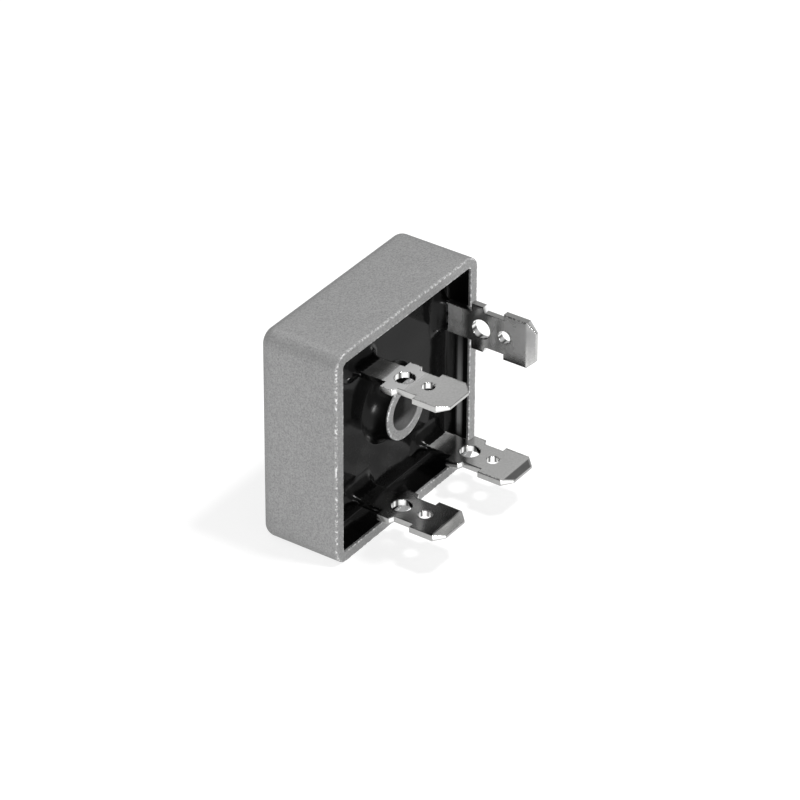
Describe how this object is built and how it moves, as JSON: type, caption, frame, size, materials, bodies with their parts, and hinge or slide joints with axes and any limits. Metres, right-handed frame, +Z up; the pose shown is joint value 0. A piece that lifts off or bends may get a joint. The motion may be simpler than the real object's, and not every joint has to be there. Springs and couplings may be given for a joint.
{
  "type": "bridge rectifier",
  "caption": "Square metal-case bridge rectifier: potted diode bridge in an aluminium cup with a centre mounting hole and upright push-on tabs.",
  "frame": {"origin": "centre of the mounting hole on the flat mounting face", "axes": "+Y out of the mounting face towards the heat sink, -Y along the tabs, +Z up with the case standing on one side, +X to the right seen from the tab side"},
  "size_m": [0.0286, 0.0219, 0.0286],
  "materials": {
    "blasted_aluminium": "fine bead-blasted, matt grey",
    "bright_tin": "bright tin plate on brass strip, near mirror",
    "casting_resin": "glossy black cast epoxy",
    "copper": "plain rolled copper strip",
    "solder": "dull soft solder",
    "silicon": "dark glossy passivated silicon",
    "mica": "matt insulating sheet"
  },
  "bodies": {
    "root": {"case": "blasted_aluminium", "insulating_sheet": "mica", "plate_ac_left": "copper", "plate_ac_right": "copper", "strap_positive": "copper", "strap_negative": "copper", "die_top": "silicon", "die_right": "silicon", "die_bottom": "silicon", "die_left": "silicon", "solder_die_top_lower": "solder", "solder_die_top_upper": "solder", "solder_die_right_lower": "solder", "solder_die_right_upper": "solder", "solder_die_bottom_lower": "solder", "solder_die_bottom_upper": "solder", "solder_die_left_lower": "solder", "solder_die_left_upper": "solder", "solder_foot_positive": "solder", "solder_foot_negative": "solder", "solder_foot_ac_left": "solder", "solder_foot_ac_right": "solder", "terminal_positive": "bright_tin", "terminal_negative": "bright_tin", "terminal_ac_left": "bright_tin", "terminal_ac_right": "bright_tin", "potting": "casting_resin"}
  },
  "joints": []
}
